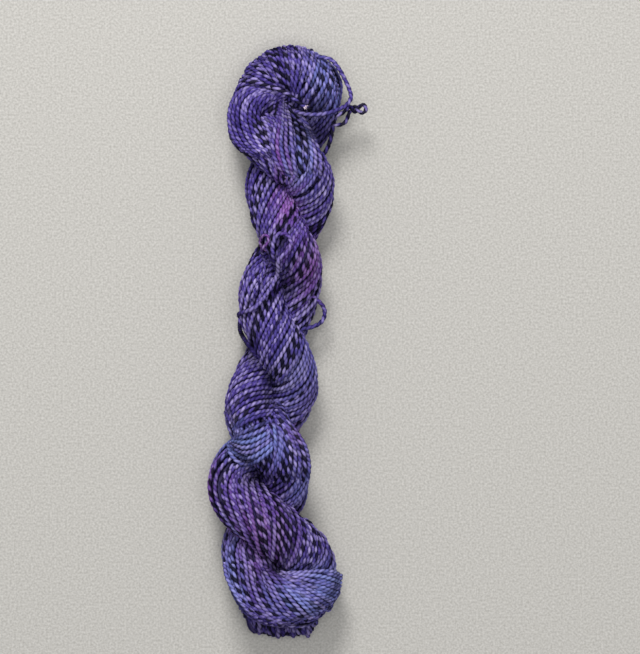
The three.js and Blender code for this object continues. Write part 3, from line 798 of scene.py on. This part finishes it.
def dye_taken(tree, given, one_ply):
    """How pale each stretch of a ply came out: broad stretches, finer ones, and the strand's own tint."""
    strand_apart = maths(tree, "MULTIPLY", given["Tint"], STRAND_APART)
    apart = maths(tree, "MULTIPLY_ADD", one_ply, PLY_APART, strand_apart)
    broad = stretches(tree, given["Along"], apart, BROAD_SCALE)
    fine = stretches(tree, maths(tree, "MULTIPLY", given["Along"], FINE_STRETCH), apart, FINE_SCALE)
    both = maths(tree, "MULTIPLY_ADD", broad, BROAD_SHARE, maths(tree, "MULTIPLY", fine, FINE_SHARE))
    return maths(tree, "ADD", both, maths(tree, "MULTIPLY_ADD", given["Tint"], TINT_SHARE, PALE_START))


def dyed_yarn_shade_group():
    """The colour and fibres of hand-dyed yarn, with shade painted into its grooves, its sides and the shade
    zones. Each ply takes the dye unevenly along its length.
    """
    tree = bpy.data.node_groups.new("dyed_yarn_painted_shade", "ShaderNodeTree")
    face = tree.interface
    for key in FACTS:
        face.new_socket(key.capitalize(), in_out="INPUT", socket_type="NodeSocketFloat")
    face.new_socket("Color", in_out="OUTPUT", socket_type="NodeSocketColor")
    face.new_socket("Height", in_out="OUTPUT", socket_type="NodeSocketFloat")
    given = tree.nodes.new("NodeGroupInput").outputs
    one_ply = maths(tree, "GREATER_THAN", given["Ply"], 0.5)
    dyed = colour_steps(tree, dye_taken(tree, given, one_ply), DYE_STEPS)
    # The last of these is painted shade from the shade zones, mixed in like a dye.
    for name, covers, dye_and_shade in DYES_AND_SHADE_OVER:
        dyed = mixed(tree, maths(tree, "MULTIPLY", given[name], covers), dyed, dye_and_shade)
    black_share = maths(tree, "MULTIPLY", given["Marl"], one_ply)
    dyed = mixed(tree, maths(tree, "MULTIPLY", black_share, BLACK_COVERS), dyed, BLACK)
    # Painted shade: the groove between the plies and the sides of a strand are mixed towards the shade
    # colour.
    painted_groove_shade = maths(tree, "SUBTRACT", 1.0, maths(tree, "MULTIPLY", given["Groove"], GROOVE_PAINTED_SHADE))
    painted_side_light = maths(tree, "MULTIPLY_ADD", given["Open"], SHADE_MORE, SHADE_LEAST)
    shaded = mixed(tree, maths(tree, "MULTIPLY", painted_groove_shade, painted_side_light), PAINTED_SHADE_COLOUR, dyed)
    place = add_node(tree, "ShaderNodeTexCoord").outputs["Object"]
    fibres = add_node(tree, "ShaderNodeTexNoise", None, {"Vector": place, "Scale": 5200.0, "Detail": 2.0})
    put = tree.nodes.new("NodeGroupOutput")
    tree.links.new(shaded, put.inputs["Color"])
    tree.links.new(fibres.outputs[0], put.inputs["Height"])
    return tree


def matt_material(name, roughness):
    """A new matt material, its nodes and its shader."""
    material = bpy.data.materials.new(name)
    material.use_nodes = True
    shader = material.node_tree.nodes["Principled BSDF"]
    shader.inputs["Roughness"].default_value = roughness
    return material, material.node_tree, shader


def yarn_material(name, group):
    """A matt yarn finish that reads the facts kept at the strand's points."""
    material, tree, shader = matt_material(name, 0.72)
    shader.inputs["Specular IOR Level"].default_value = 0.08
    facts = {key.capitalize(): add_node(tree, "ShaderNodeAttribute", {"attribute_name": key}).outputs["Fac"]
             for key in FACTS}
    dye_and_shade = add_node(tree, "ShaderNodeGroup", {"node_tree": group}, facts)
    bump = add_node(tree, "ShaderNodeBump", None,
                    {"Strength": 0.35, "Distance": 0.00012, "Height": dye_and_shade.outputs["Height"]})
    tree.links.new(bump.outputs["Normal"], shader.inputs["Normal"])
    tree.links.new(dye_and_shade.outputs["Color"], shader.inputs["Base Color"])
    return material


def pale_fibre_material():
    """The undyed fibres inside the yarn, where it was cut."""
    material, _, shader = matt_material("pale_fibre", 0.7)
    shader.inputs["Base Color"].default_value = PALE_FIBRE
    return material


def floor_material():
    """Thick pale paper with a fine grain."""
    material, tree, shader = matt_material("pale_paper", 0.9)
    place = add_node(tree, "ShaderNodeTexCoord").outputs["Object"]
    grain = add_node(tree, "ShaderNodeTexNoise", None,
                     {"Vector": place, "Scale": 1300.0, "Detail": 4.0}).outputs[0]
    bump = add_node(tree, "ShaderNodeBump", None, {"Strength": 0.2, "Distance": 0.0002, "Height": grain})
    paper = colour_steps(tree, grain, ((0.3, FLOOR_DARK), (0.7, FLOOR_LIGHT)))
    tree.links.new(paper, shader.inputs["Base Color"])
    tree.links.new(bump.outputs["Normal"], shader.inputs["Normal"])
    return material


# ---- camera, floor and light ----
PIXEL = 0.00036                 # how much of the hank one pixel of the render takes, at its widest places
PIXELS_HIGH = 654
VIEW_MIDDLE = (0.0116, 0.00558)
WIDEST_HEIGHT, CAMERA_AWAY, SENSOR_HIGH = 0.012, 1.5, 36.0
FLOOR_HALF = 1.5
SKY, SKY_STRENGTH = (0.93, 0.96, 1.0, 1.0), 0.38
WINDOW = ("window", (-0.15, 0.85, 0.85), 0.45, 12.0)  # place, size and power
CEILING = ("ceiling", (0.1, -0.1, 1.3), 0.9, 7.0)


def add_camera():
    """The camera looks straight down on the hank."""
    data = bpy.data.cameras.new("camera")
    data.sensor_fit = "VERTICAL"
    data.sensor_height = SENSOR_HIGH
    data.lens = SENSOR_HIGH * CAMERA_AWAY / (PIXEL * PIXELS_HIGH)
    camera = bpy.data.objects.new("camera", data)
    camera.location = (VIEW_MIDDLE[0] - MIDDLE[0], VIEW_MIDDLE[1] - MIDDLE[1], WIDEST_HEIGHT + CAMERA_AWAY)
    bpy.context.scene.collection.objects.link(camera)
    bpy.context.scene.camera = camera


def add_light(name, place, size, power):
    """A round soft light that looks at the middle of the hank."""
    data = bpy.data.lights.new(name, "AREA")
    data.shape = "DISK"
    data.size = size
    data.energy = power
    light = bpy.data.objects.new(name, data)
    light.location = place
    x, y, z = place
    light.rotation_euler = (math.atan2(math.hypot(x, y), z), 0, math.atan2(x, -y))
    bpy.context.scene.collection.objects.link(light)


def add_floor():
    """The plain surface that the hank lies on."""
    mesh = bpy.data.meshes.new("floor")
    shape = bmesh.new()
    bmesh.ops.create_grid(shape, x_segments=1, y_segments=1, size=FLOOR_HALF)
    shape.to_mesh(mesh)
    shape.free()
    mesh.materials.append(floor_material())
    floor = bpy.data.objects.new("floor", mesh)
    bpy.context.scene.collection.objects.link(floor)


def add_sky():
    """Soft light from all round."""
    world = bpy.data.worlds.new("soft_room")
    world.use_nodes = True
    world.node_tree.nodes["Background"].inputs["Color"].default_value = SKY
    world.node_tree.nodes["Background"].inputs["Strength"].default_value = SKY_STRENGTH
    bpy.context.scene.world = world


# ---- the loose strands ----
CORD_SHADED = 0.3               # share of the painted shade of the shade zones that a loose strand takes, as it lies above them


def add_cord(rng, name, line, material, nodes, marl=0, wide=STRAND, turn=PLY_TURN,
             pinker=0.0, pink_reach=0.0):
    """One loose strand, in the place of its solids."""
    mesh = yarn_mesh(rng, name, [(line, upward(line))], [marl], wide, turn, pinker, pink_reach, CORD_SHADED)
    piece = add_piece(mesh, material)
    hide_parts(*nodes)


def add_cords(rng, dyed, marled, thread):
    """The five loose strands. The tie and its snarl are one strand, hidden between the two."""
    add_cord(rng, "head_loop_yarn", route_line(HEAD_LOOP_ROUTE), dyed, ["head_loop"])
    add_cord(rng, "head_tie_yarn", route_line(HEAD_TIE_ROUTE, HEAD_SNARL_ROUTE), marled,
             ["head_tie", "head_snarl"], marl=1, wide=TIE_STRAND)
    add_cord(rng, "waist_loop_yarn", route_line(WAIST_LOOP_ROUTE), dyed, ["waist_loop"])
    add_cord(rng, "waist_knot_yarn", route_line(WAIST_KNOT_ROUTE), thread, ["waist_knot"],
             wide=KNOT_THREAD, turn=KNOT_TURN, pinker=0.5, pink_reach=0.018)
    add_cord(rng, "side_loop_yarn", route_line(SIDE_LOOP_ROUTE), dyed, ["side_loop"])


# ---- the bundle ----
CORE_SINK, CORE_RIDGE = 0.0016, 0.0004   # below the bundle's surface, and deeper between two ridges
CORE_STRANDS, CORE_POINTS, CORE_STEP = 24, 4, 0.0012
CORE_END = 0.003                # of the ring, at each end, without a core
CORE_SHADE = 0.5                # its painted light, and how much painted shade it takes
RIDGE_GROOVE_SHADE = (0.3, 0.7)       # painted shade of the groove on a ridge, and how much more between two


def add_core(rng, material):
    """The strands under those that show, as one ridged body."""
    sides = CORE_STRANDS * CORE_POINTS
    along = np.arange(CORE_END, RING_LENGTH - CORE_END, CORE_STEP)
    angles = np.linspace(0, 2 * np.pi, sides, endpoint=False)
    grid_along, grid_angle = np.meshgrid(along, angles, indexing="ij")
    between = np.abs(np.sin(CORE_STRANDS * grid_angle / 2))
    turned = smooth_rows(SECTIONS[:, -1:], grid_along / SECTION_STEP)[..., 0]
    rings = bundle_point(grid_along, grid_angle - turned, CORE_SINK + CORE_RIDGE * between)
    rings[..., 2] = np.maximum(rings[..., 2], FLOOR_REST)
    mesh = tube_mesh("hank_core", [rings])
    tint = np.repeat(rng.uniform(0, 1, CORE_STRANDS), CORE_POINTS)
    blank = np.zeros(grid_along.shape)
    # Painted shade: the core takes half light and half shade, and is darker between its ridges.
    add_facts(mesh, {key: blank for key in FACTS} | {
        "along": grid_along, "tint": blank + tint, "groove": RIDGE_GROOVE_SHADE[0] + RIDGE_GROOVE_SHADE[1] * between,
        "open": blank + CORE_SHADE, "painted_shade": blank + CORE_SHADE})
    core = add_piece(mesh, material)
    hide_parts("hank")


# Each group of laid strands: its guides, its number of strands, and how far every second one goes.
LAID_GROUPS = (
    (HEAD_FAN, 31, 0.66), (HEAD_LOBE, 8, 1.0), (HEAD_FRONT, 10, 1.0),
    (LEFT_SHOULDER, 7, 1.0), (LEAF_TUCK, 7, 1.0), (RIGHT_FLANK, 9, 1.0),
)
FOOT_GROUPS = ((FOOT_LEFT_FAN, 18, 0.82), (FOOT_RIGHT_FAN, 9, 0.6))
FOOT_LIFT = 0.0006              # of the foot's laid strands above the others
LONGEST_PIECE = 5.0             # metres of strand in one mesh
MARLED_LEAST, MARLED_MORE = 0.08, 0.42   # share of strands between the marled groups, and in them
MARLED_GROUPS, MARLED_START = 4, 1       # round a ply, and the angle of the first
LAID_MARLED, LOOPS_MARLED = 0.25, 1.0    # how far into a marled group these count
FOOT_MARLED = 0.3               # share of strands
SEED, MARL_SEED, FOOT_SEED = 11, 12, 5


def pushed_loops(rng):
    """The loops of the pushed end: a first layer, and a second one behind and between."""
    loops = [pushed_loop(rng, x, y, LOOP_TOP + rng.uniform(*LOOP_UNEVEN)) for x, y in PUSHED_LOOPS]
    for (x, y), (next_x, next_y) in zip(PUSHED_LOOPS, PUSHED_LOOPS[1:]):
        loops.append(pushed_loop(rng, (x + next_x) / 2, (y + next_y) / 2 + LOOP_BEHIND[0],
                                 LOOP_TOP + LOOP_BEHIND[1]))
    return loops


def marled_strands(rng, groups, count):
    """For each strand, whether one of its plies is black: 1, 0 or IN_ZONES."""
    marled = rng.uniform(0, 1, count) < MARLED_LEAST + MARLED_MORE * np.maximum(groups, 0)
    there = np.random.default_rng(MARL_SEED).uniform(0, 1, count) < MARLED_THERE
    return np.where(there & ~marled, IN_ZONES, marled)


def even_parts(strands, marled):
    """The strands and their marl in a few parts, of about the same length of yarn."""
    total = sum(travelled(line)[-1] for line, _ in strands)
    count = int(total / LONGEST_PIECE) + 1
    parts, length = [([], []) for _ in range(count)], 0.0
    for strand, marl in zip(strands, marled):
        held, held_marl = parts[min(int(length / total * count), count - 1)]
        held.append(strand)
        held_marl.append(marl)
        length += travelled(strand[0])[-1]
    return parts


def add_strands(rng, heights, material):
    """All the strands that show on the bundle, in a few meshes. Gives the strands."""
    runs = strand_runs(rng)
    strands = [strand_line(rng, run) for run in runs]
    laid = []
    for guides, count, shorter in LAID_GROUPS:
        laid += laid_group(rng, heights, guides, count, shorter)
    laid.append(laid_strand(heights, STRAY_LEFT))
    back = route_line(STRAY_BACK)
    laid.append((back, upward(back)))
    loops = pushed_loops(rng)
    strands += laid + loops
    groups = np.cos(MARLED_GROUPS * np.array([angle for angle, _, _ in runs]) + MARLED_START)
    groups = np.concatenate((groups, np.full(len(laid), LAID_MARLED), np.full(len(loops), LOOPS_MARLED)))
    marled = marled_strands(rng, groups, len(strands))
    for number, (part, part_marled) in enumerate(even_parts(strands, marled), 1):
        mesh = yarn_mesh(rng, f"hank_strands_{number}", part, part_marled, STRAND, PLY_TURN)
        add_piece(mesh, material)
    return strands


def add_foot_strands(heights, material):
    """The strands of the wrapping end, fanned out from the crevice above it to its lower edge."""
    rng = np.random.default_rng(FOOT_SEED)
    strands = []
    for guides, count, shorter in FOOT_GROUPS:
        strands += laid_group(rng, heights + FOOT_LIFT, guides, count, shorter)
    marled = rng.uniform(0, 1, len(strands)) < FOOT_MARLED
    mesh = yarn_mesh(rng, "foot_strands", strands, marled, STRAND, PLY_TURN)
    add_piece(mesh, material)


# ---- loose fibres ----
FIBRES, FIBRE_WIDE, FIBRE_POINTS = 2200, 0.00003, 5
FIBRE_SIDES = np.radians((0, 120, 240))
FIBRE_TINT = 0.35
FIBRE_ROOT = 0.4                # share of a strand's width, from its middle to where a fibre starts
FIBRE_REACH = (0.0008, 0.0022)
FIBRE_SIDEWAYS, FIBRE_FORWARDS = 0.7, 0.8  # how far a fibre leans off its strand
FIBRE_BEND, FIBRE_BENT_BY = 0.4, 0.002   # how far its tip is bent, as a slope, at that reach

CUT_END, CUT_HEADING = np.array((0.0061, 0.0849, 0.0193)), np.array((0.75, -0.45, 0.35))
CUT_FIBRES, CUT_FIBRE_WIDE, CUT_REACH = 14, 0.00022, 0.0013
CUT_SPREAD, CUT_SPLAY = 0.00022, 0.3


def add_fibres(name, lines, wide, material):
    """Fine loose fibres as one mesh."""
    tubes = []
    for line in lines:
        line[:, 2] = np.maximum(line[:, 2], wide)
        across, beside = frames_along(line)
        tubes.append(line[:, None, :] + 0.5 * wide * (across[:, None, :] * np.cos(FIBRE_SIDES)[:, None]
                                                      + beside[:, None, :] * np.sin(FIBRE_SIDES)[:, None]))
    mesh = tube_mesh(name, tubes)
    blank = np.zeros(len(mesh.vertices))
    # The fibres get full painted light and no painted shade.
    add_facts(mesh, {key: blank for key in FACTS} | {"open": blank + 1, "tint": blank + FIBRE_TINT})
    add_piece(mesh, material)


def add_fuzz(rng, strands, material):
    """Fine loose fibres that stand up from the strands that show."""
    lines = []
    for _ in range(FIBRES):
        line, outward = strands[int(rng.integers(len(strands)))]
        root = int(rng.integers(1, len(line) - 1))
        heading = unit(line[root + 1] - line[root - 1])
        first = outward[root] + FIBRE_SIDEWAYS * np.cross(heading, outward[root]) * rng.normal()
        first = unit(first + heading * rng.normal(0, FIBRE_FORWARDS))
        bend = rng.uniform(-FIBRE_BEND, FIBRE_BEND, 3)
        reach = np.linspace(0, rng.uniform(*FIBRE_REACH), FIBRE_POINTS)[:, None]
        lines.append(line[root] + first * (FIBRE_ROOT * STRAND + reach) + bend * reach ** 2 / FIBRE_BENT_BY)
    add_fibres("hank_fuzz", lines, FIBRE_WIDE, material)


def add_cut_end(rng, material):
    """The pale tip where the marled strand was cut off, just past the eye of the head."""
    reach = np.linspace(0, CUT_REACH, FIBRE_POINTS)[:, None]
    lines = []
    for _ in range(CUT_FIBRES):
        heading = unit(CUT_HEADING + rng.normal(0, CUT_SPLAY, 3))
        lines.append(CUT_END + rng.normal(0, CUT_SPREAD, 3) + heading * reach)
    add_fibres("tie_cut_end", lines, CUT_FIBRE_WIDE, material)


# ---- the whole scene ----

def build():
    """The camera and the loose strands first, then the bundle, the floor and the light."""
    rng = np.random.default_rng(SEED)
    add_camera()
    group = dyed_yarn_shade_group()
    dyed = yarn_material("hand_dyed_yarn", group)
    marled = yarn_material("marled_yarn", group)
    thread = yarn_material("tie_thread", group)
    add_cords(rng, dyed, marled, thread)
    add_core(rng, dyed)
    heights = bundle_heights()
    strands = add_strands(rng, heights, dyed)
    add_fuzz(rng, strands, dyed)
    add_foot_strands(heights, dyed)
    add_cut_end(rng, pale_fibre_material())
    add_floor()
    add_sky()
    add_light(*WINDOW)
    add_light(*CEILING)
    bpy.context.scene.view_settings.view_transform = "Standard"


build()
